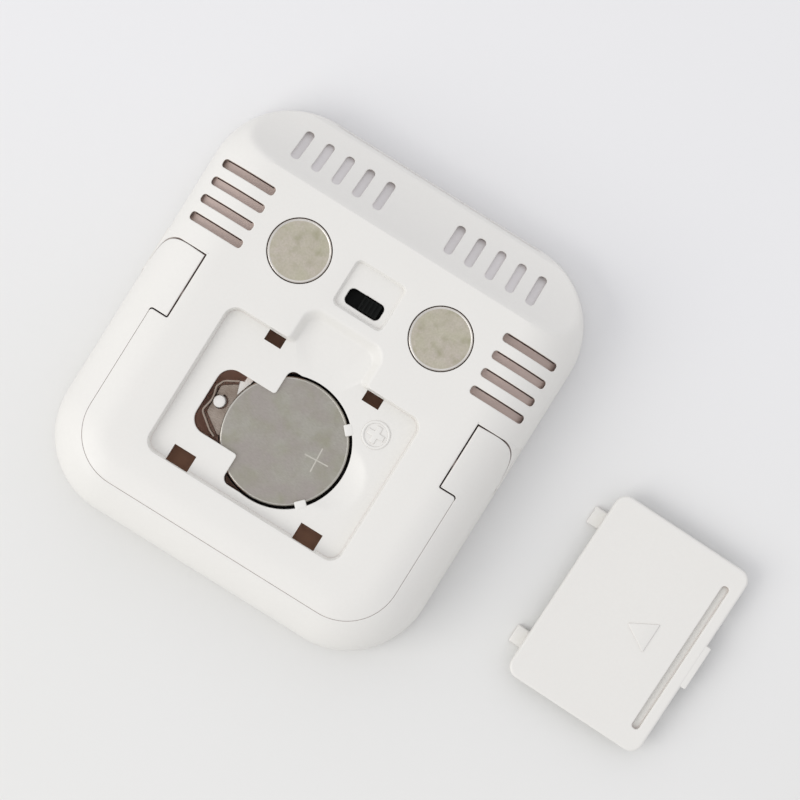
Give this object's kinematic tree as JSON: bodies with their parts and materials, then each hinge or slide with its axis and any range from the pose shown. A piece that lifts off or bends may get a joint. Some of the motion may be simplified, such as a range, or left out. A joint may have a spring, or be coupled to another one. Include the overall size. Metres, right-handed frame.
{
  "type": "digital thermometer hygrometer",
  "caption": "Pocket-size indoor thermometer and hygrometer seen from its back, with fold-out stand, fridge magnets, coin cell and loose battery cover.",
  "frame": {"origin": "middle of the front face, on the outer face of the display lens", "axes": "+Z out of the back, +Y towards the top vents, +X to the right as the back is seen"},
  "size_m": [0.1075, 0.0716, 0.016],
  "materials": {
    "housing_white": "satin moulded ABS",
    "switch_black": "satin black",
    "lens_clear": "clear polished acrylic",
    "lcd_grey": "grey-green reflective liquid crystal cell",
    "backing_white": "white foam sheet",
    "zebra_rubber": "black elastomer",
    "board_brown": "reddish brown solder mask",
    "chip_black": "black epoxy",
    "ceramic_tan": "tan ceramic",
    "magnet_nickel": "mottled nickel plate",
    "cell_steel": "satin nickelled steel",
    "contact_steel": "bright spring steel",
    "screw_steel": "zinc-plated steel",
    "seal_black": "dark sealing ring"
  },
  "bodies": {
    "case": {"front_housing": "housing_white", "rear_housing": "housing_white", "display_lens": "lens_clear", "lcd_panel": "lcd_grey", "lcd_backing": "backing_white", "zebra_strip_top": "zebra_rubber", "zebra_strip_bottom": "zebra_rubber", "circuit_board": "board_brown", "controller_chip": "chip_black", "humidity_sensor": "chip_black", "crystal": "contact_steel", "capacitor_1": "ceramic_tan", "capacitor_2": "ceramic_tan", "board_screw_1": "screw_steel", "board_screw_2": "screw_steel", "board_screw_3": "screw_steel", "board_screw_4": "screw_steel", "positive_contact": "contact_steel", "negative_contact": "contact_steel", "switch_body": "contact_steel", "magnet_left": "magnet_nickel", "magnet_right": "magnet_nickel"},
    "stand": {"stand": "housing_white"},
    "cell": {"battery_can": "cell_steel", "battery_seal": "seal_black", "battery_cap": "cell_steel"},
    "switch_slider": {"switch_knob": "switch_black"},
    "cover": {"battery_cover": "housing_white"}
  },
  "joints": [
    {"name": "stand_hinge", "type": "hinge", "parent": "case", "child": "stand", "pos_m": [0, 0.0003, 0.0142], "axis": [-1, 0, 0], "range_deg": [0, 60]},
    {"name": "cell_tilt", "type": "hinge", "parent": "case", "child": "cell", "pos_m": [-0.00434, -0.01065, 0.01365], "axis": [0, -1, 0], "range_deg": [0, 12]},
    {"name": "switch_slide", "type": "slide", "parent": "case", "child": "switch_slider", "axis": [-1, 0, 0], "range_m": [0, 0.002]},
    {"name": "cover_lift", "type": "slide", "parent": "case", "child": "cover", "axis": [0, 0, 1], "range_m": [0, 0.02]}
  ]
}
